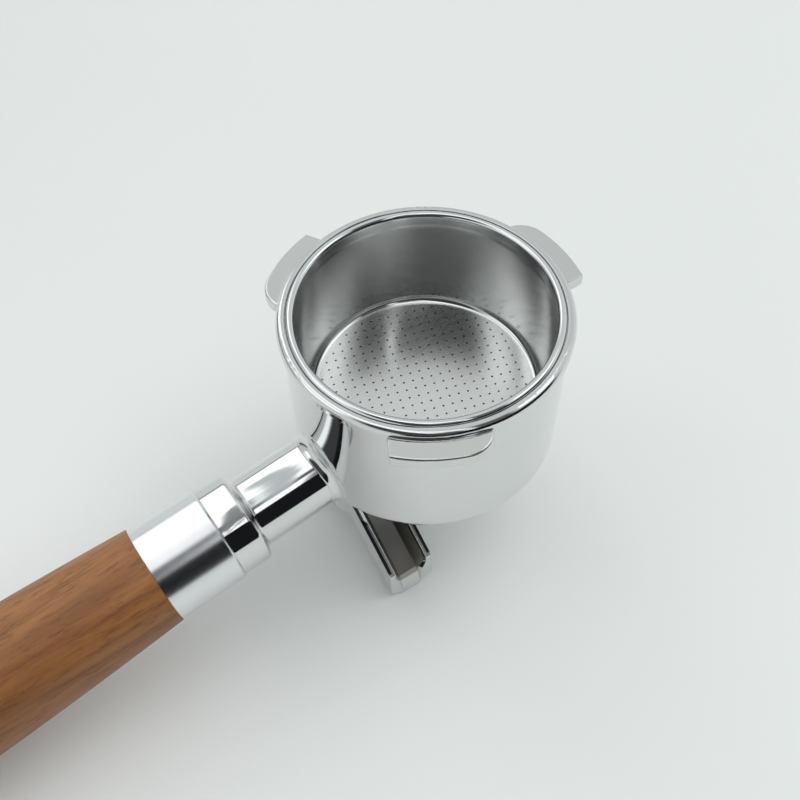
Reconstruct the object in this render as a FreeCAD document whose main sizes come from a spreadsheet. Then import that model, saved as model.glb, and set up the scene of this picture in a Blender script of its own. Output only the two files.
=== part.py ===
import FreeCAD, Part
import math
import os

import Sketcher

# A three-lug portafilter for a home espresso machine, in millimetres.
# Frame: +Z up along the axis of the cup, origin at the centre of the basket's rim plane,
# handle along -Y and slightly downwards, the two spouts along -X and +X.

DRIVING_SIZES = [
    # filter basket
    ("rim_radius", 25.5),        # clear opening, which takes a 51 mm tamper
    ("bead_width", 1.65),        # rolled rim, seen from above
    ("bead_height", 1.15),
    ("sheet", 0.6),              # thickness of the pressed steel
    ("basket_depth", 25.6),      # outside
    ("basket_straight", 11.0),   # depth of the straight wall that guides a tamper
    ("basket_taper", 1.1),       # how much narrower the wall ends
    ("basket_corner", 1.6),      # inside radius of the bottom corner
    ("hole_radius", 0.22),
    ("hole_pitch", 2.05),
    ("hole_margin", 0.5),        # plain steel between the holes and the corner
    ("hole_grid_angle", 72.0),   # degrees, the square grid against the X axis
    # cup
    ("seat_gap", 0.05),          # clearance between pieces that seat on each other
    ("basket_gap", 0.5),         # between the basket's wall and the cup's bore
    ("cup_wall", 1.8),
    ("lip_step", 0.7),           # lip outside the wall
    ("lip_height", 2.3),
    ("lip_drop", 0.35),          # lip below the basket's rim plane
    ("lip_round", 1.2),
    ("sump_depth", 9.0),         # free height under the basket
    ("floor_thickness", 3.8),
    ("floor_corner", 3.0),
    ("foot_round", 5.3),         # radius round the foot of the cup
    # lugs
    ("lug_count", 3),
    ("lug_reach", 4.1),          # outside the lip
    ("lug_half_width", 9.7),
    ("lug_drop", 2.0),           # top of the lugs below the rim plane
    ("lug_thickness", 2.8),
    ("lug_nose", 6.0),           # rounded leading corner
    ("lug_edge", 0.5),           # rounding of the lugs' outer edges
    # retaining spring
    ("wire_radius", 0.6),
    ("wire_bury", 0.25),         # centre of the wire outside the cup's bore
    ("spring_drop", 8.0),
    ("spring_arc", 330.0),       # degrees
    # neck and collar, along the handle's axis
    ("axis_rise", 9.1),          # handle's axis above the foot, on the cup's axis
    ("axis_tilt", 5.7),          # degrees, the handle falls away from the cup
    ("neck_radius", 7.8),
    ("neck_length", 17.0),       # from the cup's wall to the collar
    ("neck_fillet", 1.1),        # where it meets the collar
    ("collar_radius", 10.1),
    ("collar_length", 6.6),
    ("collar_round", 1.0),
    # handle
    ("stud_radius", 5.0),
    ("stud_depth", 15.0),        # inside the collar and neck
    ("stud_chamfer", 1.0),
    ("thread_gap", 0.03),
    ("lock_thickness", 0.9),
    ("lock_ring", 3.4),          # width of the lock washer
    ("ferrule_step", 0.4),       # ferrule outside the collar
    ("ferrule_length", 15.0),
    ("ferrule_wall", 1.2),
    ("ferrule_front", 3.0),
    ("ferrule_edge", 0.35),
    ("insert_wall", 2.0),
    ("insert_length", 27.0),     # beyond the ferrule
    ("stud_beyond", 2.0),        # stud past the end of the insert
    ("grip_step", 0.2),          # wood outside the ferrule
    ("grip_max_radius", 13.3),
    ("grip_swell", 83.0),        # from the ferrule to the widest place
    ("grip_length", 111.0),
    ("grip_end_radius", 12.2),
    ("grip_end_round", 7.0),
    # outlet and spout
    ("outlet_offset", 17.5),     # outlet from the cup's axis, towards the handle
    ("outlet_radius", 3.2),
    ("boss_radius", 4.86),       # eighth-inch pipe thread, outside
    ("boss_length", 6.5),
    ("pad_ring", 2.1),           # width of the seat round the thread
    ("pad_drop", 0.6),           # the seat below the foot of the cup
    ("washer_thickness", 1.4),
    ("hub_wall", 2.2),
    ("hub_clear", 2.0),          # between the hub and the root of the neck
    ("rail_drop", 4.6),          # tops of the channels below the foot, at the hub's axis
    ("arm_slope", 32.0),         # degrees
    ("arm_yaw", 2.4),            # degrees, where the thread comes tight, past square
    ("arm_width", 10.7),
    ("arm_depth", 8.0),          # square to the slope
    ("arm_side", 6.1),           # straight part of the arm's sides
    ("arm_keel", 4.0),           # width of the flat underside
    ("rail_width", 1.35),
    ("channel_depth", 5.0),      # square to the slope, in the middle
    ("channel_side", 1.8),
    ("channel_floor", 4.4),      # width of the flat floor
    ("channel_head", 1.0),       # how far the channels open above their rails inside the hub
    ("arm_reach", 20.3),         # end of the rails from the hub's axis
    ("end_lean", 3.0),          # degrees, the end face leans out towards its foot
    ("lip_cut", 1.5),            # from the end back to where the floor turns down
    ("lip_slope", 34.0),         # degrees steeper than the channel
]

doc = FreeCAD.newDocument("portafilter")
sheet = doc.addObject("Spreadsheet::Sheet", "Size")
for row, (alias, number) in enumerate(DRIVING_SIZES, start=1):
    sheet.set("A%d" % row, alias)
    sheet.set("B%d" % row, "%g" % number)
    sheet.setAlias("B%d" % row, alias)
doc.recompute()


class Length:
    """A number together with the sheet formula that gives it."""

    def __init__(self, number, formula):
        self.number = number
        self.formula = formula

    def combine(self, other, sign, number):
        return Length(number, "(%s %s %s)" % (self.formula, sign, as_length(other).formula))

    def __add__(self, other):
        return self.combine(other, "+", self.number + as_length(other).number)

    def __sub__(self, other):
        return self.combine(other, "-", self.number - as_length(other).number)

    def __mul__(self, other):
        return self.combine(other, "*", self.number * as_length(other).number)

    def __rmul__(self, other):
        return as_length(other) * self

    def __truediv__(self, other):
        return self.combine(other, "/", self.number / as_length(other).number)

    def __neg__(self):
        return as_length(0) - self


def as_length(value):
    if isinstance(value, Length):
        return value
    return Length(value, "%g" % value)


def size(alias):
    return Length(float(sheet.get(alias)), "Size." + alias)


def bind(item, **sizes):
    """Tie properties of an object to the sheet."""
    for name, value in sizes.items():
        item.setExpression(name, as_length(value).formula)


def origin_plane(body, role):
    for feature in body.Origin.OriginFeatures:
        if feature.Role == role:
            return feature


def sketch_in(body, name, role):
    sketch = body.newObject("Sketcher::SketchObject", name)
    sketch.AttachmentSupport = [(origin_plane(body, role), "")]
    sketch.MapMode = "FlatFace"
    return sketch


def fix(sketch, kind, place, value):
    """One dimension from the sketch's origin to a point, tied to the sheet."""
    index = sketch.addConstraint(
        Sketcher.Constraint(kind, -1, 1, place[0], place[1], value.number))
    sketch.setExpression("Constraints[%d]" % index, value.formula)


def draw_outline(sketch, corners):
    """A closed outline. A corner is (u, v), or (u, v, centre u, centre v, turn) where an arc
    leads on from it; turn is +1 anticlockwise and -1 clockwise."""
    points = []
    for corner in corners:
        u, v = as_length(corner[0]), as_length(corner[1])
        points.append((u, v, FreeCAD.Vector(u.number, v.number, 0)))
    edges = []
    for index, corner in enumerate(corners):
        start = points[index][2]
        end = points[(index + 1) % len(points)][2]
        if len(corner) == 2:
            edges.append((sketch.addGeometry(Part.LineSegment(start, end), False), 1, 2))
            continue
        centre_u, centre_v = as_length(corner[2]), as_length(corner[3])
        centre = FreeCAD.Vector(centre_u.number, centre_v.number, 0)
        first, last = (start, end) if corner[4] > 0 else (end, start)
        angles = [math.atan2(point.y - centre.y, point.x - centre.x) for point in (first, last)]
        if angles[1] <= angles[0]:
            angles[1] += 2 * math.pi
        circle = Part.Circle(centre, FreeCAD.Vector(0, 0, 1), (first - centre).Length)
        arc = sketch.addGeometry(Part.ArcOfCircle(circle, angles[0], angles[1]), False)
        edges.append((arc, 1, 2) if corner[4] > 0 else (arc, 2, 1))
        chord = end - start
        if abs(chord.x) > abs(chord.y):
            fix(sketch, "DistanceY", (arc, 3), centre_v)
        else:
            fix(sketch, "DistanceX", (arc, 3), centre_u)
    for index, (edge, start, end) in enumerate(edges):
        following = edges[(index + 1) % len(edges)]
        sketch.addConstraint(
            Sketcher.Constraint("Coincident", edge, end, following[0], following[1]))
        fix(sketch, "DistanceX", (edge, start), points[index][0])
        fix(sketch, "DistanceY", (edge, start), points[index][1])
    return sketch


def turned(name, corners):
    """A body turned about its own Z axis from an outline of (radius, height) corners."""
    body = doc.addObject("PartDesign::Body", name)
    sketch = draw_outline(sketch_in(body, name + "_section", "XZ_Plane"), corners)
    turn = body.newObject("PartDesign::Revolution", name + "_turn")
    turn.Profile = sketch
    turn.ReferenceAxis = (sketch, ["V_Axis"])
    body.Tip = turn
    return body


def on_handle(item):
    """Stand an object's own Z axis along the handle."""
    item.Placement = handle_placement()
    return item


def handle_placement():
    return FreeCAD.Placement(
        FreeCAD.Vector(0, 0, axis_height.number),
        FreeCAD.Rotation(FreeCAD.Vector(1, 0, 0), 90 + size("axis_tilt").number))


def cylinder(name, radius, height, base=None):
    item = doc.addObject("Part::Cylinder", name)
    bind(item, Radius=radius, Height=height)
    if base is not None:
        item.Placement.Base = FreeCAD.Vector(*[as_length(value).number for value in base])
    return item


def combine(kind, name, items):
    """A boolean: the first item and all the others, fused or cut away."""
    if kind == "fuse":
        item = doc.addObject("Part::MultiFuse", name)
        item.Shapes = items
        item.Refine = True
        return item
    tool = items[1]
    if len(items) > 2:
        tool = combine("fuse", name + "_tools", items[1:])
    item = doc.addObject("Part::Cut", name)
    item.Base = items[0]
    item.Tool = tool
    item.Refine = True
    return item


# Sizes worked out once, from the cup's axis outwards and from the rim plane down.
basket_outside = size("rim_radius") + size("sheet")
basket_low = size("rim_radius") - size("basket_taper")
basket_floor = size("sheet") - size("basket_depth")
bore_radius = basket_outside + size("basket_gap")
wall_radius = bore_radius + size("cup_wall")
lip_radius = wall_radius + size("lip_step")
lug_radius = lip_radius + size("lug_reach")
seat_radius = size("rim_radius") + size("bead_width") + 4 * size("seat_gap")
spring_radius = bore_radius + size("wire_bury")
ledge = -size("bead_height") - size("seat_gap")
lip_top = -size("lip_drop")
lip_foot = lip_top - size("lip_height")
cup_floor = -size("basket_depth") - size("sump_depth")
foot = cup_floor - size("floor_thickness")
axis_height = foot + size("axis_rise")

# Places along the handle's axis, from the cup's axis.
collar_start = wall_radius + size("neck_length")
collar_end = collar_start + size("collar_length")
stud_start = collar_end - size("stud_depth")
lock_radius = size("stud_radius") + size("lock_ring")
ferrule_radius = size("collar_radius") + size("ferrule_step")
ferrule_end = collar_end + size("ferrule_length")
insert_radius = size("stud_radius") + size("insert_wall")
insert_end = ferrule_end + size("insert_length")
stud_end = insert_end + size("stud_beyond")
grip_end = ferrule_end + size("grip_length")

# The outlet and the pieces that stack under it.
outlet_y = -size("outlet_offset")
pad_radius = size("boss_radius") + size("pad_ring")
hub_radius = size("boss_radius") + size("hub_wall")
pad_foot = foot - size("pad_drop")
boss_foot = pad_foot - size("boss_length")
washer_top = pad_foot - size("seat_gap")
washer_foot = washer_top - size("washer_thickness")
hub_top = washer_foot - size("seat_gap")
rail_top = foot - size("rail_drop")


def lug(number):
    """One bayonet lug, drawn pointing along +Y: square at its trailing end and rounded at
    the end that enters the group first."""
    name = "lug_%d" % number
    body = doc.addObject("PartDesign::Body", name)
    sketch = sketch_in(body, name + "_plan", "XY_Plane")
    half = size("lug_half_width")
    root = Length(math.sqrt(bore_radius.number ** 2 - half.number ** 2),
                  "sqrt(%s ^ 2 - %s ^ 2)" % (bore_radius.formula, half.formula))
    tip = Length(math.sqrt(lug_radius.number ** 2 - half.number ** 2),
                 "sqrt(%s ^ 2 - %s ^ 2)" % (lug_radius.formula, half.formula))
    draw_outline(sketch, [(-half, root), (half, root), (half, tip, 0, 0, 1), (-half, tip)])
    pad = body.newObject("PartDesign::Pad", name + "_pad")
    pad.Profile = sketch
    bind(pad, Length=size("lug_thickness"))
    doc.recompute()
    corner = [edge for edge in range(1, len(pad.Shape.Edges) + 1)
              if is_upright_at(pad.Shape.Edges[edge - 1], -half.number, tip.number)]
    nose = body.newObject("PartDesign::Fillet", name + "_nose")
    nose.Base = (pad, ["Edge%d" % edge for edge in corner])
    bind(nose, Radius=size("lug_nose"))
    doc.recompute()
    rims = [edge for edge in range(1, len(nose.Shape.Edges) + 1)
            if is_outer_rim(nose.Shape.Edges[edge - 1])]
    rounded = body.newObject("PartDesign::Fillet", name + "_edges")
    rounded.Base = (nose, ["Edge%d" % edge for edge in rims])
    bind(rounded, Radius=size("lug_edge"))
    body.Tip = rounded
    turn = FreeCAD.Rotation(FreeCAD.Vector(0, 0, 1), number * 360.0 / size("lug_count").number)
    height = -size("lug_drop").number - size("lug_thickness").number
    body.Placement = FreeCAD.Placement(FreeCAD.Vector(0, 0, height), turn)
    return body


def is_upright_at(edge, x, y):
    ends = [vertex.Point for vertex in edge.Vertexes]
    near = 1e-3
    return all(abs(point.x - x) < near and abs(point.y - y) < near for point in ends)


def is_outer_rim(edge):
    """True of the level edges that run outside the lip."""
    ends = [vertex.Point for vertex in edge.Vertexes]
    level = abs(ends[0].z - ends[-1].z) < 1e-3
    return level and all(math.hypot(end.x, end.y) > lip_radius.number for end in ends)


def cup():
    """The cup with its lip, basket seat, spring groove and rounded foot."""
    wall, bore, lip = wall_radius, bore_radius, lip_radius
    edge, corner, round_ = size("foot_round"), size("floor_corner"), size("lip_round")
    groove_half = size("wire_radius") + 2 * size("seat_gap")
    groove_radius = spring_radius + groove_half
    groove = -size("spring_drop")
    return turned("cup", [
        (0, foot),
        (wall - edge, foot, wall - edge, foot + edge, 1),
        (wall, foot + edge),
        (wall, lip_foot - size("lip_step")),
        (lip, lip_foot),
        (lip, lip_top - round_, lip - round_, lip_top - round_, 1),
        (lip - round_, lip_top),
        (seat_radius, lip_top),
        (seat_radius, ledge),
        (bore, ledge),
        (bore, groove + groove_half),
        (groove_radius, groove + groove_half),
        (groove_radius, groove - groove_half),
        (bore, groove - groove_half),
        (bore, cup_floor + corner, bore - corner, cup_floor + corner, -1),
        (bore - corner, cup_floor),
        (0, cup_floor),
    ])


def neck():
    """The neck and the collar that the handle seats on."""
    radius, fillet, round_ = size("neck_radius"), size("neck_fillet"), size("collar_round")
    collar, front, back = size("collar_radius"), collar_start, collar_end
    start = size("outlet_offset") + hub_radius + size("hub_clear")
    recess = size("lock_thickness") + size("seat_gap")
    recess_radius = lock_radius + 2 * size("seat_gap")
    return on_handle(turned("neck", [
        (0, start),
        (radius, start),
        (radius, front - fillet, radius + fillet, front - fillet, -1),
        (radius + fillet, front),
        (collar - round_, front, collar - round_, front + round_, 1),
        (collar, front + round_),
        (collar, back),
        (recess_radius, back),
        (recess_radius, back - recess),
        (0, back - recess),
    ]))


def portafilter_body():
    """One chromed casting: cup, lugs, neck, collar and threaded outlet."""
    lugs = [lug(number) for number in range(int(size("lug_count").number))]
    seat_height = size("floor_thickness") / 2 + size("pad_drop")
    pad = cylinder("outlet_pad", pad_radius, seat_height, (0, outlet_y, pad_foot))
    boss = cylinder("outlet_boss", size("boss_radius"), seat_height + size("boss_length"),
                    (0, outlet_y, boss_foot))
    solid = combine("fuse", "casting", [cup(), neck(), pad, boss] + lugs)
    corner = size("floor_corner")
    hollow = cylinder("cup_hollow", bore_radius - corner, -cup_floor, (0, 0, cup_floor))
    upper = cylinder("cup_hollow_upper", bore_radius, -cup_floor, (0, 0, cup_floor + corner))
    outlet = cylinder("outlet_hole", size("outlet_radius"), cup_floor + corner - boss_foot,
                      (0, outlet_y, boss_foot))
    stud_hole = cylinder("stud_hole", size("stud_radius") + size("thread_gap"), collar_end)
    place = handle_placement()
    place.move(place.Rotation.multVec(FreeCAD.Vector(0, 0, stud_start.number)))
    stud_hole.Placement = place
    body = combine("cut", "casting_bored", [solid, hollow, upper, outlet, stud_hole])
    body.Label = "portafilter_body"
    return body


def filter_basket():
    """Pressed steel basket: rolled rim, tapered wall and perforated bottom."""
    rim, gauge = size("rim_radius"), size("sheet")
    low, corner = basket_low, size("basket_corner")
    bottom = -size("basket_depth")
    inner_floor = basket_floor
    bead, height = size("bead_width"), size("bead_height")
    curl = bead / 2
    shell = turned("basket_shell", [
        (0, bottom),
        (low - corner, bottom, low - corner, inner_floor + corner, 1),
        (low + gauge, inner_floor + corner),
        (rim + gauge, -size("basket_straight")),
        (rim + gauge, -height),
        (rim + bead, -height),
        (rim + bead, -curl, rim + curl, -curl, 1),
        (rim, -curl),
        (rim, -size("basket_straight")),
        (low, inner_floor + corner, low - corner, inner_floor + corner, -1),
        (low - corner, inner_floor),
        (0, inner_floor),
    ])
    pins = doc.addObject("Part::Feature", "basket_pins")
    pins.Shape = Part.makeCompound(perforation_pins())
    basket = combine("cut", "basket_perforated", [shell, pins])
    basket.Refine = False
    basket.Label = "filter_basket"
    return basket


def perforation_pins():
    """One pin for every hole of the square grid that lies inside the perforated field."""
    pitch = size("hole_pitch").number
    field = (basket_low - size("basket_corner") - size("hole_margin")).number
    turn = math.radians(size("hole_grid_angle").number)
    across, along = math.cos(turn) * pitch, math.sin(turn) * pitch
    steps = int(field / pitch) + 1
    base = basket_floor.number - 2 * size("sheet").number
    pins = []
    for row in range(-steps, steps + 1):
        for column in range(-steps, steps + 1):
            x = column * across - row * along
            y = column * along + row * across
            if math.hypot(x, y) < field:
                pins.append(Part.makeCylinder(
                    size("hole_radius").number, 3 * size("sheet").number,
                    FreeCAD.Vector(x, y, base)))
    return pins


def basket_spring():
    """The open wire ring in the cup that grips the basket."""
    body = doc.addObject("PartDesign::Body", "basket_spring")
    sketch = sketch_in(body, "wire_section", "XZ_Plane")
    radius, drop, wire = spring_radius, size("spring_drop"), size("wire_radius")
    centre = FreeCAD.Vector(radius.number, -drop.number, 0)
    circle = sketch.addGeometry(Part.Circle(centre, FreeCAD.Vector(0, 0, 1), wire.number), False)
    fix(sketch, "DistanceX", (circle, 3), radius)
    fix(sketch, "DistanceY", (circle, 3), -drop)
    index = sketch.addConstraint(Sketcher.Constraint("Radius", circle, wire.number))
    sketch.setExpression("Constraints[%d]" % index, wire.formula)
    turn = body.newObject("PartDesign::Revolution", "wire_turn")
    turn.Profile = sketch
    turn.ReferenceAxis = (sketch, ["V_Axis"])
    bind(turn, Angle=size("spring_arc"))
    body.Tip = turn
    opening = 90 + (360 - size("spring_arc").number) / 2
    body.Placement.Rotation = FreeCAD.Rotation(FreeCAD.Vector(0, 0, 1), opening)
    return body


def handle_pieces():
    """Stud, lock washer, ferrule, insert and wooden grip, all turned on the handle's axis."""
    stud, gap = size("stud_radius"), size("thread_gap")
    bore = stud + gap
    back, end = collar_end, ferrule_end
    lock = size("lock_thickness")
    edge = size("ferrule_edge")
    chamfer = size("stud_chamfer")
    tenon = ferrule_radius - size("ferrule_wall")
    tenon_start = back + size("ferrule_front")
    shell, insert = ferrule_radius, insert_radius
    turned("handle_stud", [
        (0, stud_start + 4 * gap),
        (stud - chamfer, stud_start + 4 * gap),
        (stud, stud_start + 4 * gap + chamfer),
        (stud, stud_end - chamfer),
        (stud - chamfer, stud_end),
        (0, stud_end),
    ])
    turned("lock_washer", [
        (bore, back - lock),
        (lock_radius, back - lock),
        (lock_radius, back),
        (bore, back),
    ])
    turned("ferrule", [
        (bore, back),
        (shell - edge, back),
        (shell, back + edge),
        (shell, end),
        (tenon, end),
        (tenon, tenon_start),
        (bore, tenon_start),
    ])
    turned("grip_insert", [
        (bore, tenon_start),
        (insert, tenon_start),
        (insert, insert_end),
        (bore, insert_end),
    ])
    joint, widest = ferrule_radius + size("grip_step"), size("grip_max_radius")
    widest_at = end + size("grip_swell")
    end_radius, end_round = size("grip_end_radius"), size("grip_end_round")
    swell = arc_centre(widest, widest_at, joint, end)
    fall = arc_centre(widest, widest_at, end_radius, grip_end - end_round)
    tail = stud_end + chamfer
    turned("wooden_grip", [
        (insert, tenon_start),
        (tenon, tenon_start),
        (tenon, end),
        (joint, end, swell, widest_at, 1),
        (widest, widest_at, fall, widest_at, 1),
        (end_radius, grip_end - end_round,
         end_radius - end_round, grip_end - end_round, 1),
        (end_radius - end_round, grip_end),
        (0, grip_end),
        (0, tail),
        (bore, tail),
        (bore, insert_end),
        (insert, insert_end),
    ])
    for name in ("handle_stud", "lock_washer", "ferrule", "grip_insert", "wooden_grip"):
        on_handle(doc.getObject(name))


def arc_centre(top_radius, top_at, radius, at):
    """Radius coordinate of the centre of an arc that is level at its widest point and
    passes through a second point."""
    rise = top_radius - radius
    run = top_at - at
    return top_radius - (run * run + rise * rise) / (2 * rise)


def arm_section(name, half, side, keel, depth, head):
    """A bar along its own X axis: flat top, straight sides and a narrower flat underside.
    The top is head above the X axis."""
    body = doc.addObject("PartDesign::Body", name)
    sketch = sketch_in(body, name + "_section", "YZ_Plane")
    draw_outline(sketch, [
        (-half, head), (-half, -side), (-keel, -depth),
        (keel, -depth), (half, -side), (half, head),
    ])
    pad = body.newObject("PartDesign::Pad", name + "_pad")
    pad.Profile = sketch
    bind(pad, Length=1.5 * size("arm_reach"))
    body.Tip = pad
    return body


def box(name, length, width, height):
    item = doc.addObject("Part::Box", name)
    bind(item, Length=length, Width=width, Height=height)
    return item


def twin_spout():
    """Hub on the outlet's thread and two open channels that fall away to each side."""
    centre = FreeCAD.Vector(0, outlet_y.number, rail_top.number)
    slope, reach = size("arm_slope").number, size("arm_reach").number
    half = size("arm_width") / 2
    inner = half - size("rail_width")
    floor = size("channel_floor") / 2
    yaw = size("arm_yaw").number
    hub_foot = rail_top - size("arm_depth")
    hub = cylinder("spout_hub", hub_radius, hub_top - hub_foot, (0, outlet_y, hub_foot))
    thread_foot = boss_foot - 4 * size("seat_gap")
    thread = cylinder("spout_thread", size("boss_radius") + size("seat_gap"),
                      hub_top - thread_foot, (0, outlet_y, thread_foot))
    solids = [hub]
    tools = [thread]
    down = FreeCAD.Rotation(FreeCAD.Vector(0, 1, 0), slope)
    steeper = FreeCAD.Rotation(FreeCAD.Vector(0, 1, 0), slope + size("lip_slope").number)
    lean = FreeCAD.Rotation(FreeCAD.Vector(0, 1, 0), -size("end_lean").number)
    fall = math.radians(slope)
    rail_end = FreeCAD.Vector(reach, 0, -reach * math.tan(fall))
    depth = size("channel_depth").number
    for side, turn in (("left", 180), ("right", 0)):
        about = FreeCAD.Rotation(FreeCAD.Vector(0, 0, 1), turn - yaw)
        bar = arm_section("arm_" + side, half, size("arm_side"), size("arm_keel") / 2,
                          size("arm_depth"), 0)
        bar.Placement = FreeCAD.Placement(centre, about * down)
        channel = arm_section("channel_" + side, inner, size("channel_side"), floor,
                              size("channel_depth"), size("channel_head"))
        channel.Placement = FreeCAD.Placement(centre, about * down)
        lip = arm_section("drip_lip_" + side, inner, size("channel_side"), floor,
                          size("channel_depth"), 4 * size("channel_head"))
        run = (reach - size("lip_cut").number + depth * math.sin(fall)) / math.cos(fall)
        break_point = down.multVec(FreeCAD.Vector(run, 0, -depth))
        lip_base = break_point - steeper.multVec(FreeCAD.Vector(0, 0, -depth))
        lip.Placement = FreeCAD.Placement(centre + about.multVec(lip_base), about * steeper)
        end = box("arm_end_" + side, 2 * size("arm_reach"), 2 * size("arm_width"),
                  4 * size("arm_depth"))
        corner = lean.multVec(FreeCAD.Vector(0, -half.number * 2, -2 * size("arm_depth").number))
        end.Placement = FreeCAD.Placement(
            centre + about.multVec(rail_end + corner), about * lean)
        solids.append(combine("cut", "arm_trimmed_" + side, [bar, end]))
        tools += [channel, lip]
    body = combine("fuse", "spout_solid", solids)
    spout = combine("cut", "spout_cut", [body] + tools)
    spout.Label = "twin_spout"
    return spout


def spout_washer():
    """Flat seal between the outlet's pad and the spout's hub."""
    washer = turned("spout_washer", [
        (size("boss_radius") + 2 * size("seat_gap"), washer_foot),
        (hub_radius, washer_foot),
        (hub_radius, washer_top),
        (size("boss_radius") + 2 * size("seat_gap"), washer_top),
    ])
    washer.Placement.Base = FreeCAD.Vector(0, outlet_y.number, 0)
    return washer


portafilter_body()
filter_basket()
basket_spring()
handle_pieces()
spout_washer()
twin_spout()
doc.recompute()

NODES = ("portafilter_body", "filter_basket", "basket_spring", "spout_washer", "twin_spout",
         "handle_stud", "lock_washer", "ferrule", "grip_insert", "wooden_grip")

problems = [item.Name for item in doc.Objects
            if "Invalid" in item.State or "Error" in item.State]
if problems:
    raise RuntimeError("these objects failed: " + ", ".join(problems))

shapes = {}
for node in NODES:
    shape = doc.getObjectsByLabel(node)[0].Shape
    if shape.isNull() or not shape.isValid() or not shape.Solids:
        raise RuntimeError(node + " has no valid solid")
    shapes[node] = shape

os.makedirs("parts", exist_ok=True)
for node, shape in shapes.items():
    shape.exportStep("parts/%s.step" % node)
    print("%-18s %2d solid(s) %10.1f mm3" % (node, len(shape.Solids), shape.Volume))
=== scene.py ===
# %% [markdown]
# # A portafilter
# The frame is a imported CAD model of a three-lug portafilter: a chromed cup with a filter basket
# in it, a turned neck, a wooden handle and a twin spout. Blender's lengths here are metres, and
# every place comes from the frame, so a piece made here fits the ones that CAD made.

# %% Load the frame
import math

import bmesh
import bpy
from mathutils import Matrix, Vector


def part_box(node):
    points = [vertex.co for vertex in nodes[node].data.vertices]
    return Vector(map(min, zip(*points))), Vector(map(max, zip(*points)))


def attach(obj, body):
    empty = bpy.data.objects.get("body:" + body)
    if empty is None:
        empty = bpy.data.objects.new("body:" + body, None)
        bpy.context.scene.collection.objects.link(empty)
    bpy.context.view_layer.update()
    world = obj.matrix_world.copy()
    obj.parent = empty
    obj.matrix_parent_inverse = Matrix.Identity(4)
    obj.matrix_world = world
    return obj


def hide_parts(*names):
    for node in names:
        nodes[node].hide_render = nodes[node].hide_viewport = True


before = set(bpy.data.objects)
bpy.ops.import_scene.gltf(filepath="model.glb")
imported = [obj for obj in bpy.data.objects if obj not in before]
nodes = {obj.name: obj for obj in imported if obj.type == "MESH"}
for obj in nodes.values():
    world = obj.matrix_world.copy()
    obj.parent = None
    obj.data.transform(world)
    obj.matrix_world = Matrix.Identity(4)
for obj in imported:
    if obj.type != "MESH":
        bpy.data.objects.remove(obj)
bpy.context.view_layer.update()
print("nodes:", ", ".join(sorted(nodes)))

# %% [markdown]
# ## Camera
# The camera looks down into the cup from the right of the handle. Its place, its aim and its
# small roll are in millimetres in the frame's own axes, which makes them easy to check against
# the object. A long lens would flatten the cup, so this one is a little longer than normal.

# %% Camera
MM = 0.001


def point(x, y, z):
    return Vector((x, y, z)) * MM


CAMERA_PLACE = point(101.5, -74.4, 146.5)
CAMERA_AIM = point(2.94, -8.5, -20.0)
CAMERA_ROLL = math.radians(-1.54)
CAMERA_LENS = 45.0
SENSOR_WIDTH = 36.0

camera = bpy.data.objects.new("camera", bpy.data.cameras.new("camera"))
camera.data.lens = CAMERA_LENS
camera.data.sensor_width = SENSOR_WIDTH
camera.data.clip_start = 0.01
camera.location = CAMERA_PLACE
look = (CAMERA_AIM - CAMERA_PLACE).to_track_quat("-Z", "Y")
camera.rotation_euler = (look.to_matrix() @ Matrix.Rotation(CAMERA_ROLL, 3, "Z")).to_euler()
bpy.context.collection.objects.link(camera)
bpy.context.scene.camera = camera
bpy.context.scene.view_settings.view_transform = "Standard"
print("camera", [round(value, 4) for value in camera.location])

# %% [markdown]
# ## Writing shaders as sums
# A material could be wired by hand, one link at a time, but then its maths is hard to read.
# Here a small class wraps a socket, so that a + b adds a Math node, and one method makes every
# other kind of node.


# %% Shader helpers
class Value:
    """One number coming out of a node. Arithmetic on it adds Math nodes."""

    def __init__(self, shading, socket):
        self.shading = shading
        self.socket = socket

    def maths(self, operation, *values):
        return self.shading.node("ShaderNodeMath", {"operation": operation}, *values)[0]

    def __add__(self, other):
        return self.maths("ADD", self, other)

    def __radd__(self, other):
        return self.maths("ADD", other, self)

    def __sub__(self, other):
        return self.maths("SUBTRACT", self, other)

    def __rsub__(self, other):
        return self.maths("SUBTRACT", other, self)

    def __mul__(self, other):
        return self.maths("MULTIPLY", self, other)

    def __rmul__(self, other):
        return self.maths("MULTIPLY", other, self)

    def __truediv__(self, other):
        return self.maths("DIVIDE", self, other)

    def root(self):
        return self.maths("SQRT", self)

    def size(self):
        return self.maths("ABSOLUTE", self)

    def rise(self, low, high):
        """0 below low, 1 above high, smooth between."""
        return self.shading.node(
            "ShaderNodeMapRange", {"interpolation_type": "SMOOTHSTEP"},
            Value=self, **{"From Min": low, "From Max": high})[0]

    def between(self, low, high, soft):
        """1 from low to high, fading to 0 over soft on each side."""
        return self.rise(low - soft, low + soft) * (1 - self.rise(high - soft, high + soft))


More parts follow.
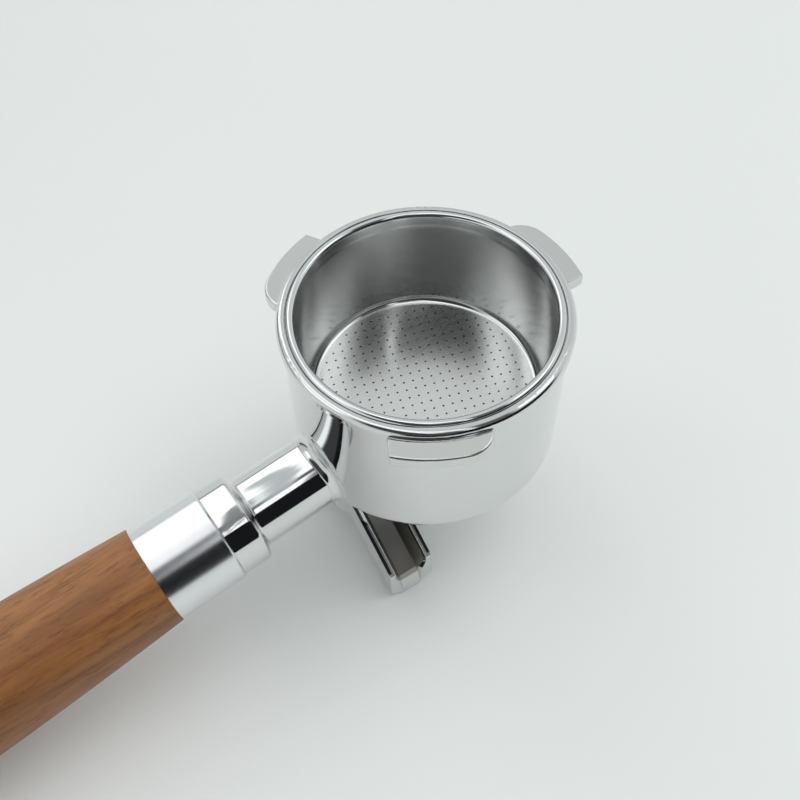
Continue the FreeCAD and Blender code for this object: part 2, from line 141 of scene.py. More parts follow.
class Shading:
    """A node tree that is being built, for a material or for the surroundings."""

    def __init__(self, owner):
        owner.use_nodes = True
        self.tree = owner.node_tree

    def feed(self, socket, value):
        if isinstance(value, Value):
            self.tree.links.new(value.socket, socket)
        else:
            socket.default_value = value

    def node(self, kind, settings=None, *values, **named):
        """Adds a node: its settings first, then its inputs by place or by name."""
        made = self.tree.nodes.new(kind)
        for name, setting in (settings or {}).items():
            setattr(made, name, setting)
        for place, value in enumerate(values):
            self.feed(made.inputs[place], value)
        for name, value in named.items():
            self.feed(made.inputs[name], value)
        return [Value(self, socket) for socket in made.outputs if socket.enabled]

    def split(self, vector):
        return self.node("ShaderNodeSeparateXYZ", None, vector)

    def join(self, x, y, z):
        return self.node("ShaderNodeCombineXYZ", None, x, y, z)[0]

    def noise(self, vector, scale, detail=2.0, roughness=0.5):
        return self.node("ShaderNodeTexNoise", None, Vector=vector, Scale=scale, Detail=detail,
                         Roughness=roughness)[0]

    def mix(self, factor, first, second, blend="MIX"):
        made = self.node("ShaderNodeMix", {"data_type": "RGBA", "blend_type": blend})
        mixer = made[0].socket.node
        for name, value in (("Factor", factor), ("A", first), ("B", second)):
            sockets = [socket for socket in mixer.inputs if socket.name == name and socket.enabled]
            self.feed(sockets[0], value)
        return made[0]


class Finish(Shading):
    """A material for one of the object's surfaces."""

    def __init__(self, name):
        self.material = bpy.data.materials.new(name)
        super().__init__(self.material)
        self.shader = self.tree.nodes["Principled BSDF"]

    def coordinates(self, centre=(0, 0, 0), turn=(0, 0, 0), scale=(1, 1, 1)):
        """Object coordinates about a centre, turned by angles in radians and then scaled."""
        place = self.node("ShaderNodeTexCoord")[3]
        moved = self.node("ShaderNodeVectorMath", {"operation": "SUBTRACT"}, place, centre)[0]
        return self.node("ShaderNodeMapping", {"vector_type": "POINT"},
                         moved, (0, 0, 0), turn, scale)[0]

    def bump(self, height, strength, distance, edge=None):
        """A bump, over edges that catch the light as if rounded by a radius."""
        named = {"Height": height, "Strength": strength, "Distance": distance}
        if edge:
            named["Normal"] = self.node("ShaderNodeBevel", {"samples": 6}, edge)[0]
        return self.node("ShaderNodeBump", None, **named)[0]

    def surface(self, **sockets):
        for name, value in sockets.items():
            self.feed(self.shader.inputs[name.replace("_", " ")], value)
        return self.material


def colour(red, green, blue):
    return (red, green, blue, 1.0)


def paint(name, material):
    """Gives every slot of a CAD node one material."""
    slots = nodes[name].data.materials
    for place in range(len(slots)):
        slots[place] = material
    print(name, "is", material.name)


# %% [markdown]
# ## Floor
# The real piece rests on three points: the tips of the two channels and the end of the handle.
# The floor is the plane through them, so nothing floats. A flat plane with a faint paper grain
# is enough, because all that it has to do is take the soft shadow and be seen in the chrome.

# %% Floor
FLOOR_HALF = 3.0
FLOOR_GAP = 0.3 * MM     # so that the floor doesn't touch the spout
GRIP_END_IN = 12 * MM    # from the end of the grip to where its rounded end touches
spout_low, spout_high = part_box("twin_spout")
grip_low, grip_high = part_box("wooden_grip")


def rest_floor():
    finish = Finish("floor_paper")
    place = finish.coordinates()
    cloud = finish.noise(place, 2.0, 3.0)
    tint = finish.mix(cloud.rise(0.3, 0.7), colour(0.78, 0.81, 0.79), colour(0.82, 0.84, 0.83))
    grain = finish.noise(place, 900.0, 2.0)
    finish.surface(Base_Color=tint, Roughness=0.65, Normal=finish.bump(grain, 0.05, 0.0002))
    corners = [(-FLOOR_HALF, -FLOOR_HALF, 0), (FLOOR_HALF, -FLOOR_HALF, 0),
               (FLOOR_HALF, FLOOR_HALF, 0), (-FLOOR_HALF, FLOOR_HALF, 0)]
    mesh = bpy.data.meshes.new("floor")
    mesh.from_pydata(corners, [], [(0, 1, 2, 3)])
    mesh.materials.append(finish.material)
    floor = bpy.data.objects.new("floor", mesh)
    spout_y = (spout_low.y + spout_high.y) / 2
    rise = (grip_low.z - spout_low.z) / (spout_y - (grip_low.y + GRIP_END_IN))
    floor.location = (0, spout_y, spout_low.z - FLOOR_GAP)
    floor.rotation_euler = (-math.atan(rise), 0, 0)
    bpy.context.collection.objects.link(floor)
    print("floor tilt", round(math.degrees(math.atan(rise)), 2))


rest_floor()

# %% [markdown]
# ## Surroundings
# Chrome shows the room, not itself, so the room matters as much as the metal. It could be
# modelled with cards and boxes, but those would show in other views. A world shader does it
# instead: it reads the direction of a ray and returns the tone of the strip of room there. A
# strip spans some degrees about the handle, and some of the direction's y, which runs along it.
# The list goes from back to front, and a wave bends the edges of some strips, as a casting
# does. What the camera sees directly stays a plain pale tone.

# %% The room's strips
ROOM_WIDE = (-0.81, 0.81, 0.09)
# name, degrees (from, to, softness), y (from, to, softness), wave (degrees, y), tone
STRIPS = [
    ("ceiling", (46, 158, 1.5), ROOM_WIDE, (0, 0), (0.60, 0.62, 0.63)),
    ("alcove", (47, 86, 3), (-0.30, 0.36, 0.02), (0, 0), (0.12, 0.12, 0.125)),
    ("sill", (46, 60, 1), (-0.066, 0.045, 0.01), (0, 0), (1.42, 1.45, 1.46)),
    ("lamp", (69, 158, 3), (-0.22, 0.12, 0.02), (0, 0), (1.42, 1.45, 1.46)),
    ("lamp grille", (58, 128, 1), (-0.019, 0.022, 0.002), (34, 0.02), (0.56, 0.59, 0.61)),
    ("lamp frame", (52, 92, 4), (-0.066, -0.032, 0.003), (60, 0), (0.26, 0.27, 0.28)),
    ("far ceiling", (95, 150, 4), (0.26, 0.50, 0.03), (0, 0), (0.67, 0.69, 0.68)),
    ("seam", (159, 162, 0.5), ROOM_WIDE, (0, 0), (0.10, 0.10, 0.11)),
    ("window", (66, 98, 5), (0.42, 0.72, 0.04), (0, 0), (1.45, 1.48, 1.49)),
    ("doorway", (100, 132, 5), (-0.72, -0.40, 0.04), (0, 0), (1.35, 1.37, 1.38)),
    ("bench", (166, 176, 1), (-0.80, -0.25, 0.03), (0, 0), (0.010, 0.011, 0.013)),
]
WALL_TONE = colour(0.70, 0.735, 0.72)
CURTAIN = (-8, 46, 0.6)             # degrees about the handle and softness
CURTAIN_END = (-0.8, -0.7)          # in y
CURTAIN_TONE = colour(0.010, 0.011, 0.013)
CORNER_TOWARD = (0.47, -0.32, 0.82)
CORNER_FROM, CORNER_TO = 28, 38     # degrees from its middle, over which it fades
CORNER_END = (-0.28, -0.18)         # in y
CORNER_TONE = colour(0.06, 0.06, 0.065)
PLAIN_TONE = colour(0.78, 0.81, 0.80)
WAVE_SCALE = 7.0
WAVES_ALONG = 12.0                  # waves along the handle for each one about it
print("room:", ", ".join(strip[0] for strip in STRIPS))


# %% Surroundings
def degrees_about_handle(room, x, z):
    """Angle of a direction about the handle: 0 to the right, 90 overhead, 180 to the left."""
    return room.node("ShaderNodeMath", {"operation": "ARCTAN2"}, z, x)[0] * math.degrees(1)


def moved(value, wave, amount):
    """A value moved by the wave, or the value itself where the strip is straight."""
    return value + amount * wave if amount else value


def dark_corner(room, direction, y):
    """A round dark part of the room, which the basket's far wall shows."""
    toward = Vector(CORNER_TOWARD).normalized()
    facing = room.node("ShaderNodeVectorMath", {"operation": "DOT_PRODUCT"}, direction, toward)[0]
    near = facing.rise(math.cos(math.radians(CORNER_TO)), math.cos(math.radians(CORNER_FROM)))
    return near * (1 - y.rise(*CORNER_END))


def studio_world():
    world = bpy.data.worlds.new("studio")
    room = Shading(world)
    direction = room.node("ShaderNodeTexCoord")[0]
    x, y, z = room.split(direction)
    wave = room.noise(room.join(x, y * WAVES_ALONG, z), WAVE_SCALE, 3.0) - 0.5
    angle = degrees_about_handle(room, x, z)
    tone = WALL_TONE
    for name, turn, along, waves, shade in STRIPS:
        about = moved(angle, wave, waves[0]).between(*turn)
        tone = room.mix(about * moved(y, wave, waves[1]).between(*along), tone, colour(*shade))
    curtain = angle.between(*CURTAIN) * y.rise(*CURTAIN_END) * y.between(*ROOM_WIDE)
    tone = room.mix(curtain, tone, CURTAIN_TONE)
    tone = room.mix(dark_corner(room, direction, y), tone, CORNER_TONE)
    tone = room.mix(room.node("ShaderNodeLightPath")[0], tone, PLAIN_TONE)
    room.feed(room.tree.nodes["Background"].inputs["Color"], tone)
    bpy.context.scene.world = world
    print("room tree:", len(room.tree.nodes), "nodes")


studio_world()

# %% [markdown]
# ## Lights
# Two large soft boxes do the lighting of the floor and the wood. They could show as white cards
# in the chrome, but the room's own strips do that better, so gloss doesn't see them.


# %% Lights
def softbox(name, place, width, depth, power):
    """A large soft light above the piece. The chrome doesn't show it."""
    lamp = bpy.data.lights.new(name, "AREA")
    lamp.shape = "RECTANGLE"
    lamp.size = width
    lamp.size_y = depth
    lamp.energy = power
    thing = bpy.data.objects.new(name, lamp)
    thing.location = place
    thing.rotation_euler = (-Vector(place)).to_track_quat("-Z", "Y").to_euler()
    thing.visible_glossy = False
    bpy.context.collection.objects.link(thing)
    print(name, power, "W")


softbox("window_light", (0.15, 0.75, 0.95), 1.2, 1.0, 4.2)
softbox("ceiling_light", (0.45, 0.0, 1.25), 1.6, 1.6, 5.4)

# %% [markdown]
# ## Polished chrome
# The cup, its lugs, the neck and the collar are one brass casting, polished and chromed. Chrome
# has almost no colour of its own. What makes it look real is uneven polish: a faint ripple that
# the plating keeps from the casting, wiping marks in the gloss, and lugs that stay satin
# because they are machined after polishing. Sharp CAD edges get a rounded highlight.

# %% Chrome
LIP_RADIUS = 29.1 * MM
LUG_TOP = -2.0 * MM
LUG_DEPTH = 2.8 * MM
LUG_SOFT = 0.4 * MM
EDGE = 0.3 * MM          # radius of the rounded highlight


def chrome():
    finish = Finish("polished_chrome")
    place = finish.coordinates()
    x, y, z = finish.split(place)
    reach = (x * x + y * y).root()
    lug = reach.rise(LIP_RADIUS + 0.1 * MM, LIP_RADIUS + 0.3 * MM)
    lug = lug * z.between(LUG_TOP - LUG_DEPTH, LUG_TOP, LUG_SOFT)
    wiping = finish.noise(place, 55.0, 4.0)
    speck = finish.noise(place, 420.0, 2.0)
    rough = 0.03 + 0.035 * wiping.rise(0.42, 0.75) + 0.01 * speck
    rough = rough + lug * 0.24
    ripple = finish.noise(place, 90.0, 2.0)
    tint = finish.mix(wiping.rise(0.3, 0.8), colour(0.77, 0.78, 0.78), colour(0.74, 0.75, 0.745))
    tint = finish.mix(lug, tint, colour(0.73, 0.74, 0.72))
    return finish.surface(Base_Color=tint, Metallic=1.0, Roughness=rough,
                          Normal=finish.bump(ripple, 0.12, 0.00006, EDGE))


chrome_finish = chrome()
paint("portafilter_body", chrome_finish)

# %% [markdown]
# ## The cast fillet between neck and cup
# A casting has no sharp inside corner where its neck runs into its cup. CAD leaves that corner
# sharp, so the fillet is made here as a piece of its own. It is the path of a ball that rolls
# round the neck and touches both walls: for each angle round the neck the ball's centre is
# found by halving a range, and the arc between its two touching points is the section.

# %% Neck fillet
AXIS_TILT = math.radians(5.7)
AXIS_START = Vector((0, 0, -29.3 * MM))
NECK_RADIUS = 7.8 * MM
NECK_ROOT = 27.0 * MM       # the fillet ends where it would pass under the foot
CUP_RADIUS = 28.4 * MM
CUP_FOOT = -38.4 * MM
FOOT_ROUND = 5.3 * MM
BALL = 2.4 * MM
FILLET_STEPS = 144
FILLET_ARC = 10
FILLET_DEPTH = 1.2          # how far the hidden corner reaches into the metal, in corners

handle_axis = Vector((0, -math.cos(AXIS_TILT), -math.sin(AXIS_TILT)))
handle_side = Vector((1, 0, 0))
handle_up = handle_axis.cross(handle_side)


def nearest_on_cup(place):
    """The unit direction from the cup's outside to a place, and the gap between them."""
    round_z = CUP_FOOT + FOOT_ROUND
    flat = Vector((place.x, place.y, 0))
    outward = flat.normalized()
    if place.z >= round_z:
        return outward, flat.length - CUP_RADIUS
    ring = outward * (CUP_RADIUS - FOOT_ROUND) + Vector((0, 0, round_z))
    away = place - ring
    return away.normalized(), away.length - FOOT_ROUND


def rolling_ball(radial):
    """Centre of the ball that touches the neck along radial and the cup, or None."""
    near, far = NECK_ROOT, 2 * NECK_ROOT
    base = AXIS_START + radial * (NECK_RADIUS + BALL)
    if nearest_on_cup(base + handle_axis * near)[1] > BALL:
        return None
    for _ in range(40):
        middle = (near + far) / 2
        if nearest_on_cup(base + handle_axis * middle)[1] > BALL:
            far = middle
        else:
            near = middle
    return base + handle_axis * near


def fillet_section(radial, centre):
    """The ball's arc from the neck to the cup, closed by a corner inside the metal."""
    first, last = -radial, -nearest_on_cup(centre)[0]
    opening = first.angle(last)
    section = []
    for step in range(FILLET_ARC + 1):
        share = step / FILLET_ARC
        toward = (first * math.sin((1 - share) * opening)
                  + last * math.sin(share * opening)) / math.sin(opening)
        section.append(centre + toward * BALL)
    section.append(centre + (first + last) * BALL * FILLET_DEPTH)
    return section


def neck_fillet():
    sections = []
    for step in range(FILLET_STEPS):
        angle = math.radians(-90 + 360 * step / FILLET_STEPS)
        radial = handle_side * math.cos(angle) + handle_up * math.sin(angle)
        centre = rolling_ball(radial)
        if centre is not None:
            sections.append(fillet_section(radial, centre))
    shape = bmesh.new()
    rows = [[shape.verts.new(place) for place in section] for section in sections]
    for row, following in zip(rows, rows[1:]):
        for place in range(len(row)):
            beyond = (place + 1) % len(row)
            shape.faces.new((row[place], row[beyond], following[beyond], following[place]))
    shape.faces.new(rows[0])
    shape.faces.new(list(reversed(rows[-1])))
    bmesh.ops.recalc_face_normals(shape, faces=shape.faces)
    mesh = bpy.data.meshes.new("neck_fillet")
    shape.to_mesh(mesh)
    shape.free()
    mesh.shade_smooth()
    mesh.set_sharp_from_angle(angle=math.radians(40))
    mesh.materials.append(chrome_finish)
    fillet = bpy.data.objects.new("neck_fillet", mesh)
    bpy.context.collection.objects.link(fillet)
    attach(fillet, "portafilter")
    print("neck fillet:", len(sections), "sections")


neck_fillet()

# %% [markdown]
# ## Spout
# The spout is polished outside, but a wheel can't reach into its two open channels, so they
# stay dull and take a brown coat of coffee oil, with painted shade over it that is darkest toward
# the hub, under the cup. The flats of the rails are painted near black, a painted dark
# reflection. The masks come from the plane of the rails: what lies below it and between the
# walls is inside.

# %% Spout finish
SPOUT_Y = -17.5 * MM
RAIL_TOP = -43.0 * MM
ARM_SLOPE = math.radians(32.0)
ARM_YAW = math.radians(2.4)
CHANNEL_HALF = 4.0 * MM
CHANNEL_END = 19.6 * MM     # beyond it the end face is polished
END_SOFT = 0.3 * MM
SHADE_TO_OIL_START = 8.0 * MM        # from here outwards the channels' painted shade fades into the browner coffee oil
RAIL_INSIDE = 4.55 * MM     # from here outwards the flats of the rails are painted dark: a painted reflection
RAIL_DEPTH = 0.35 * MM


def spout_chrome():
    finish = Finish("spout_chrome")
    place = finish.coordinates((0, SPOUT_Y, RAIL_TOP), (0, 0, ARM_YAW))
    x, y, z = finish.split(place)
    below = 0 - z - x.size() * math.tan(ARM_SLOPE)
    inside = below.rise(0.1 * MM, 0.8 * MM)
    inside = inside * (1 - y.size().rise(CHANNEL_HALF, 1.05 * CHANNEL_HALF))
    inside = inside * (1 - x.size().rise(CHANNEL_END - END_SOFT, CHANNEL_END))
    stain = finish.noise(place, 160.0, 4.0)
    # Inside the channels: dull coffee-oil staining, and painted shade as well
    oil_and_shade_mask = inside * (0.75 + 0.25 * stain)
    # Darkest toward the hub, under the cup: painted shade; browner outwards: coffee oil
    oil_and_shade_tint = finish.mix(x.size().rise(SHADE_TO_OIL_START, CHANNEL_END), colour(0.19, 0.185, 0.17),
                      colour(0.36, 0.335, 0.29))
    tint = finish.mix(oil_and_shade_mask, colour(0.76, 0.77, 0.765), oil_and_shade_tint)
    # The flats of the rails are painted near black: a painted dark reflection
    rail_dark_reflection = y.size().rise(RAIL_INSIDE, RAIL_INSIDE + 0.15 * MM)
    rail_dark_reflection = rail_dark_reflection * (1 - below.size().rise(RAIL_DEPTH - 0.1 * MM, RAIL_DEPTH + 0.1 * MM))
    rail_dark_reflection = rail_dark_reflection * (1 - x.size().rise(CHANNEL_END, CHANNEL_END + END_SOFT))
    tint = finish.mix(rail_dark_reflection, tint, colour(0.055, 0.058, 0.055))
    rough = 0.05 + 0.02 * stain + inside * 0.26
    cast = finish.noise(place, 700.0, 3.0)
    return finish.surface(Base_Color=tint, Metallic=1.0, Roughness=rough,
                          Normal=finish.bump(cast, 0.10, 0.00005, EDGE))


paint("twin_spout", spout_chrome())

# %% [markdown]
# ## Turned aluminium
# The ferrule between the collar and the wood is turned and satin anodised. The tool leaves
# fine rings round the axis, which stretch a highlight along the handle. The rings are noise
# that is read only along the handle, so they run round it whatever its diameter.

# %% Ferrule
def turned_aluminium():
    finish = Finish("satin_aluminium")
    x, y, z = finish.split(finish.coordinates(tuple(AXIS_START), (-AXIS_TILT, 0, 0)))
    rings = finish.noise(finish.join(x * 0.02, y, z * 0.02), 5200.0, 3.0, 0.7)
    cloud = finish.noise(finish.coordinates(), 60.0, 2.0)
    rough = 0.17 + 0.05 * rings + 0.03 * cloud
    tint = finish.mix(cloud, colour(0.80, 0.81, 0.83), colour(0.84, 0.85, 0.86))
    return finish.surface(Base_Color=tint, Metallic=1.0, Roughness=rough,
                          Normal=finish.bump(rings, 0.04, 0.00002, EDGE))


paint("ferrule", turned_aluminium())

# %% [markdown]
# ## Wood
# The grip is turned from a dark red hardwood and oiled. Its grain runs along the handle: slow
# growth bands, long dark streaks between them, and short pores. All three are noise stretched
# along the handle, because a plank's rings are nearly straight over this length.

# %% Grip
grip_middle = (grip_low + grip_high) / 2


def oiled_wood():
    finish = Finish("oiled_wood")
    turn = (-AXIS_TILT, 0, 0)
    long_place = finish.coordinates(tuple(grip_middle), turn, (1, 0.045, 1))
    short_place = finish.coordinates(tuple(grip_middle), turn, (1, 0.17, 1))
    sway = finish.noise(finish.coordinates(tuple(grip_middle), turn, (1, 0.4, 1)), 28.0, 2.0)
    x, y, z = finish.split(long_place)
    bowed = finish.join(x + 0.006 * sway, y, z + 0.004 * sway)
    bands = finish.noise(bowed, 210.0, 3.0, 0.55)
    streaks = finish.noise(bowed, 900.0, 5.0, 0.75)
    pores = finish.noise(short_place, 1300.0, 3.0, 0.75)
    tint = finish.mix(bands.rise(0.32, 0.70), colour(0.230, 0.088, 0.024),
                      colour(0.380, 0.160, 0.048))
    tint = finish.mix(streaks.rise(0.47, 0.68) * 0.55, tint, colour(0.125, 0.040, 0.014))
    tint = finish.mix(pores.rise(0.50, 0.70) * 0.50, tint, colour(0.095, 0.031, 0.012))
    rough = 0.42 + 0.14 * streaks + 0.10 * pores
    height = 0.6 * streaks + pores
    return finish.surface(Base_Color=tint, Roughness=rough, Coat_Weight=0.15,
                          Coat_Roughness=0.25, Normal=finish.bump(0 - height, 0.25, 0.00005))


paint("wooden_grip", oiled_wood())

# %% [markdown]
# ## Small hidden pieces
# The spring, the stud, the lock washer, the brass insert and the seal hardly show, but they
# are seen when the basket or the spout comes off, so each is given a finish; the stud and the
# washer share one.


# %% Plain metals and the seal
def plain_metal(name, tint, worn, roughness):
    finish = Finish(name)
    place = finish.coordinates()
    wear = finish.noise(place, 240.0, 4.0)
    shade = finish.mix(wear.rise(0.4, 0.7), tint, worn)
    return finish.surface(Base_Color=shade, Metallic=1.0, Roughness=roughness + 0.15 * wear,
                          Normal=finish.bump(wear, 0.1, 0.00003))


def seal_fibre():
    finish = Finish("seal_fibre")
    grain = finish.noise(finish.coordinates(), 1400.0, 3.0)
    shade = finish.mix(grain, colour(0.66, 0.63, 0.57), colour(0.76, 0.74, 0.69))
    return finish.surface(Base_Color=shade, Roughness=0.75,
                          Normal=finish.bump(grain, 0.3, 0.00004))


zinc = plain_metal("zinc_steel", colour(0.60, 0.61, 0.62), colour(0.50, 0.51, 0.53), 0.25)
paint("handle_stud", zinc)
paint("lock_washer", zinc)
paint("grip_insert", plain_metal("brass", colour(0.78, 0.57, 0.27), colour(0.62, 0.43, 0.19), 0.2))
paint("basket_spring",
      plain_metal("spring_steel", colour(0.60, 0.61, 0.62), colour(0.45, 0.46, 0.47), 0.18))
paint("spout_washer", seal_fibre())

# %% [markdown]
# ## Filter basket: the pressed shell
# The basket is one disc of steel, drawn into a cup, with its rim rolled over. CAD holds its
# size, but a drawn sheet has no sharp creases, so the shell is turned again here from arcs.
# The outline is half a section. Its flat bottom is left open for the perforated plate.

# %% Turning
TURN_STEPS = 192


def arc(centre_r, centre_z, radius, start, end, steps):
    """Points of an arc in the section, angles in degrees from the outward direction."""
    angles = [math.radians(start + (end - start) * step / steps) for step in range(steps + 1)]
    return [(centre_r + radius * math.cos(angle), centre_z + radius * math.sin(angle))
            for angle in angles]


def turn_section(name, section):
    """A surface turned about Z from an open section of (radius, height) points."""
    shape = bmesh.new()
    rows = []
    for step in range(TURN_STEPS):
        angle = 2 * math.pi * step / TURN_STEPS
        rows.append([shape.verts.new((radius * math.cos(angle), radius * math.sin(angle), z))
                     for radius, z in section])
    for step in range(TURN_STEPS):
        row, following = rows[step], rows[(step + 1) % TURN_STEPS]
        for place in range(len(section) - 1):
            shape.faces.new((row[place], following[place], following[place + 1], row[place + 1]))
    mesh = bpy.data.meshes.new(name)
    shape.to_mesh(mesh)
    shape.free()
    return mesh


RIM = 25.5 * MM             # clear opening
SHEET = 0.6 * MM
BEAD_WIDTH = 1.65 * MM
BEAD_HEIGHT = 1.15 * MM
BASKET_LOW = 24.4 * MM      # inside radius at the bottom
CORNER = 1.6 * MM
SHOULDER = 0.05 * MM        # faint shoulder under the rim
SHOULDER_DROP = 3.5 * MM
SHOULDER_HEIGHT = 1.0 * MM
WALL_STEPS = 16
SHOULDER_STEPS = 5
basket_low, basket_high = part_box("filter_basket")
FLOOR_Z = basket_low.z + SHEET
PLATE_RADIUS = BASKET_LOW - CORNER


def basket_section():
    """From the plate's top edge, up the inside, over the bead and down the outside."""
    inside = arc(PLATE_RADIUS, FLOOR_Z + CORNER, CORNER, -90, 0, 10)
    bottom = inside[-1][1]
    guide = RIM - SHOULDER
    wall = []
    for step in range(1, WALL_STEPS + 1):
        share = step / WALL_STEPS
        ease = 1 - (1 - share) ** 2
        wall.append((BASKET_LOW + (guide - BASKET_LOW) * ease,
                     bottom + (-SHOULDER_DROP - bottom) * share))
    for step in range(1, SHOULDER_STEPS + 1):
        share = step / SHOULDER_STEPS
        ease = share * share * (3 - 2 * share)
        wall.append((guide + SHOULDER * ease, -SHOULDER_DROP + SHOULDER_HEIGHT * share))
    wall.append((RIM, -BEAD_WIDTH / 2))
    half = BEAD_WIDTH / 2
    bead = arc(RIM + half, -half, half, 180, 0, 20)[1:]
    curl = [(RIM + BEAD_WIDTH, -BEAD_HEIGHT), (RIM + BEAD_WIDTH - 0.2 * MM, -BEAD_HEIGHT),
            (RIM + SHEET, -BEAD_HEIGHT)]
    outside = [(radius + SHEET, z) for radius, z in reversed(wall[:-1])]
    outside += [(PLATE_RADIUS + (radius - PLATE_RADIUS) * (CORNER + SHEET) / CORNER,
                 FLOOR_Z + CORNER + (z - FLOOR_Z - CORNER) * (CORNER + SHEET) / CORNER)
                for radius, z in reversed(inside)]
    return inside + wall + bead + curl + outside


shell = bpy.data.objects.new("basket_shell", turn_section("basket_shell", basket_section()))
bpy.context.collection.objects.link(shell)
print("basket shell:", len(shell.data.polygons), "faces")

# %% [markdown]
# ## Filter basket: the perforated plate
# The bottom is pierced with some 370 holes on a square grid. Cutting each with a boolean would
# be slow and rough. Geometry Nodes do it in one fill: circles stand on the points of the grid
# that lie in the field, one more circle is the plate's edge, and Fill Curve fills what is
# between. Extruding that sheet gives every hole its wall.


# %% Perforation tree
class Geometry:
    """A Geometry Nodes tree with named inputs."""

    def __init__(self, name, inputs):
        self.tree = bpy.data.node_groups.new(name, "GeometryNodeTree")
        interface = self.tree.interface
        self.sockets = {}
        for label, kind in inputs:
            self.sockets[label] = interface.new_socket(label, in_out="INPUT", socket_type=kind)
        interface.new_socket("Geometry", in_out="OUTPUT", socket_type="NodeSocketGeometry")
        self.inputs = self.tree.nodes.new("NodeGroupInput").outputs

    def node(self, kind, settings=None, **named):
        made = self.tree.nodes.new(kind)
        for name, setting in (settings or {}).items():
            setattr(made, name, setting)
        for name, value in named.items():
            socket = [each for each in made.inputs if each.name == name.replace("_", " ")
                      and each.enabled][0]
            for item in value if isinstance(value, list) else [value]:
                if isinstance(item, bpy.types.NodeSocket):
                    self.tree.links.new(item, socket)
                else:
                    socket.default_value = item
        return made

    def maths(self, operation, first, second=0.0):
        made = self.tree.nodes.new("ShaderNodeMath")
        made.operation = operation
        for socket, value in zip(made.inputs, (first, second)):
            if isinstance(value, bpy.types.NodeSocket):
                self.tree.links.new(value, socket)
            else:
                socket.default_value = value
        return made.outputs[0]

    def finish(self, geometry, material):
        real = self.node("GeometryNodeRealizeInstances", Geometry=geometry)
        dressed = self.node("GeometryNodeSetMaterial", Geometry=real.outputs[0], Material=material)
        out = self.tree.nodes.new("NodeGroupOutput")
        self.tree.links.new(dressed.outputs[0], out.inputs[0])


def distance_from_axis(geometry):
    position = geometry.node("GeometryNodeInputPosition").outputs[0]
    split = geometry.node("ShaderNodeSeparateXYZ", Vector=position)
    flat = geometry.node("ShaderNodeCombineXYZ", X=split.outputs[0], Y=split.outputs[1])
    return geometry.node("ShaderNodeVectorMath", {"operation": "LENGTH"},
                         Vector=flat.outputs[0]).outputs["Value"]


def perforation_tree():
    geometry = Geometry("perforated_plate", [
        ("Shell", "NodeSocketGeometry"), ("Plate Radius", "NodeSocketFloat"),
        ("Field Radius", "NodeSocketFloat"), ("Hole Radius", "NodeSocketFloat"),
        ("Pitch", "NodeSocketFloat"), ("Rows", "NodeSocketInt"),
        ("Grid Angle", "NodeSocketFloat"), ("Floor", "NodeSocketFloat"),
        ("Sheet", "NodeSocketFloat"), ("Steel", "NodeSocketMaterial")])
    given = geometry.inputs
    side = geometry.maths("MULTIPLY", given["Pitch"],
                          geometry.maths("SUBTRACT", given["Rows"], 1.0))
    grid = geometry.node("GeometryNodeMeshGrid", Size_X=side, Size_Y=side,
                         Vertices_X=given["Rows"], Vertices_Y=given["Rows"])
    turn = geometry.node("ShaderNodeCombineXYZ", Z=given["Grid Angle"])
    turned = geometry.node("GeometryNodeTransform", Geometry=grid.outputs[0],
                           Rotation=turn.outputs[0])
    outside = geometry.maths("GREATER_THAN", distance_from_axis(geometry), given["Field Radius"])
    field = geometry.node("GeometryNodeDeleteGeometry", Geometry=turned.outputs[0],
                          Selection=outside)
    hole = geometry.node("GeometryNodeCurvePrimitiveCircle", Resolution=14,
                         Radius=given["Hole Radius"])
    holes = geometry.node("GeometryNodeInstanceOnPoints", Points=field.outputs[0],
                          Instance=hole.outputs[0])
    edge = geometry.node("GeometryNodeCurvePrimitiveCircle", Resolution=TURN_STEPS,
                         Radius=given["Plate Radius"])
    circles = geometry.node("GeometryNodeJoinGeometry",
                            Geometry=[holes.outputs[0], edge.outputs[0]])
    loose = geometry.node("GeometryNodeRealizeInstances", Geometry=circles.outputs[0])
    sheet = geometry.node("GeometryNodeFillCurve", Curve=loose.outputs[0])
    under = geometry.node("GeometryNodeFlipFaces", Mesh=sheet.outputs[0])
    down = geometry.node("ShaderNodeCombineXYZ", Z=geometry.maths("MULTIPLY", given["Sheet"], -1.0))
    walls = geometry.node("GeometryNodeExtrudeMesh", Mesh=under.outputs[0],
                          Offset=down.outputs[0], Individual=False)
    rim = geometry.maths("GREATER_THAN", distance_from_axis(geometry),
                         geometry.maths("MULTIPLY", given["Plate Radius"], 0.9995))
    side_only = geometry.maths("MULTIPLY", rim, walls.outputs["Side"])
    open_walls = geometry.node("GeometryNodeDeleteGeometry", {"domain": "FACE"},
                               Geometry=walls.outputs[0], Selection=side_only)
    plate = geometry.node("GeometryNodeJoinGeometry",
                          Geometry=[sheet.outputs[0], open_walls.outputs[0]])
    height = geometry.node("ShaderNodeCombineXYZ", Z=given["Floor"])
    placed = geometry.node("GeometryNodeSetPosition", Geometry=plate.outputs[0],
                           Offset=height.outputs[0])
    whole = geometry.node("GeometryNodeJoinGeometry",
                          Geometry=[placed.outputs[0], given["Shell"]])
    welded = geometry.node("GeometryNodeMergeByDistance", Geometry=whole.outputs[0],
                           Distance=0.002 * MM)
    smooth = geometry.node("GeometryNodeSetShadeSmooth", Geometry=welded.outputs[0])
    geometry.finish(smooth.outputs[0], given["Steel"])
    return geometry


plate_tree = perforation_tree()
print("perforation tree:", len(plate_tree.tree.nodes), "nodes")
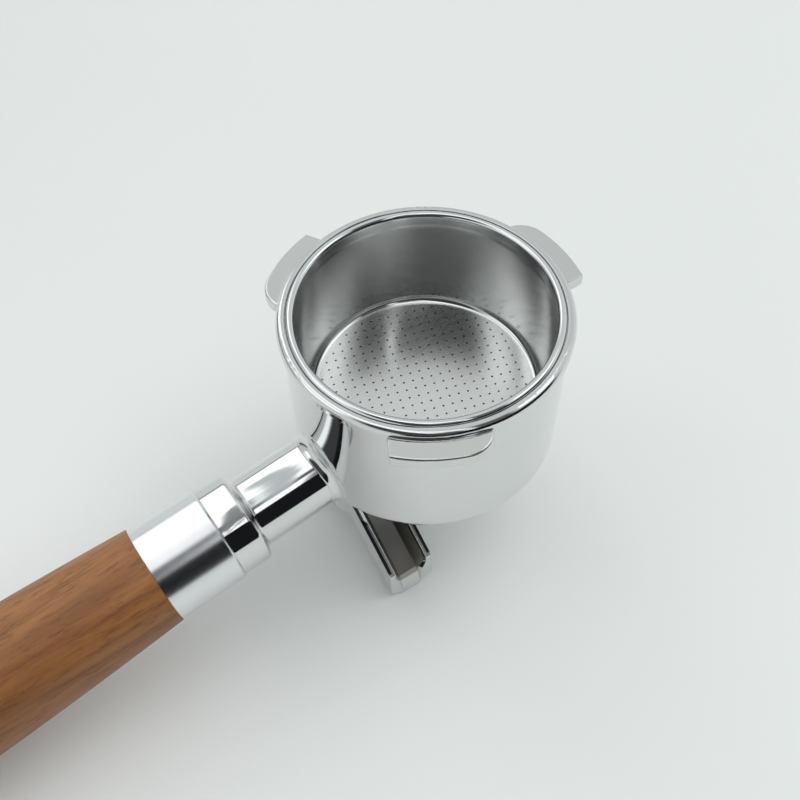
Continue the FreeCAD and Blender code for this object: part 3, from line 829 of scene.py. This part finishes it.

# %% [markdown]
# ## Filter basket: steel
# Drawing leaves faint upright lines on the wall, rolling leaves straight grain on the bottom,
# and the rim and the bottom corner come out polished. One material does all of them: masks by
# height choose the gloss and the tint, so no seam shows between them.


# %% Basket steel
def basket_steel():
    finish = Finish("pressed_steel")
    place = finish.coordinates()
    x, y, z = finish.split(place)
    reach = (x * x + y * y).root()
    upright = finish.join(x / reach, y / reach, z)
    drawn = finish.noise(upright, 95.0, 4.0, 0.7)
    rolled = finish.noise(finish.coordinates((0, 0, 0), (0, 0, 0.5), (1, 0.05, 1)), 1500.0, 3.0)
    cloud = finish.noise(place, 110.0, 3.0)
    rim = z.rise(-1.1 * MM, -0.8 * MM)
    plate = 1 - z.rise(FLOOR_Z + 0.02 * MM, FLOOR_Z + 0.3 * MM)
    corner = z.between(FLOOR_Z + 0.1 * MM, FLOOR_Z + 1.5 * MM, 0.2 * MM)
    grain = drawn * (1 - plate) + rolled * plate
    rough = 0.13 + 0.10 * grain + plate * (0.08 + 0.10 * cloud)
    rough = rough * (1 - rim * 0.75) * (1 - corner * 0.75)
    tint = finish.mix(plate, colour(0.61, 0.62, 0.61), colour(0.82, 0.83, 0.82))
    tint = finish.mix(rim, tint, colour(0.80, 0.81, 0.82))
    return finish.surface(Base_Color=tint, Metallic=1.0, Roughness=rough,
                          Normal=finish.bump(grain, 0.07, 0.00003))


HOLE_ROWS = 23
PERFORATION = {
    "Plate Radius": PLATE_RADIUS,
    "Field Radius": PLATE_RADIUS - 0.5 * MM,
    "Hole Radius": 0.22 * MM,
    "Pitch": 2.05 * MM,
    "Rows": HOLE_ROWS,
    "Grid Angle": math.radians(72.0),
    "Floor": FLOOR_Z,
    "Sheet": SHEET,
    "Steel": basket_steel(),
}


def faces_at_edges(mesh):
    """How many faces meet at each edge."""
    shape = bmesh.new()
    shape.from_mesh(mesh)
    counts = [len(edge.link_faces) for edge in shape.edges]
    shape.free()
    return counts


def make_basket():
    modifier = shell.modifiers.new("perforate", "NODES")
    modifier.node_group = plate_tree.tree
    for label, value in PERFORATION.items():
        modifier[plate_tree.sockets[label].identifier] = value
    depsgraph = bpy.context.evaluated_depsgraph_get()
    mesh = bpy.data.meshes.new_from_object(shell.evaluated_get(depsgraph))
    shell.modifiers.clear()
    bpy.data.objects.remove(shell)
    mesh.set_sharp_from_angle(angle=math.radians(40))
    basket = bpy.data.objects.new("perforated_basket", mesh)
    bpy.context.collection.objects.link(basket)
    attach(basket, "basket")
    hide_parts("filter_basket")
    open_edges = sum(1 for count in faces_at_edges(mesh) if count != 2)
    print("basket:", len(mesh.polygons), "faces,", open_edges, "open edges")


make_basket()
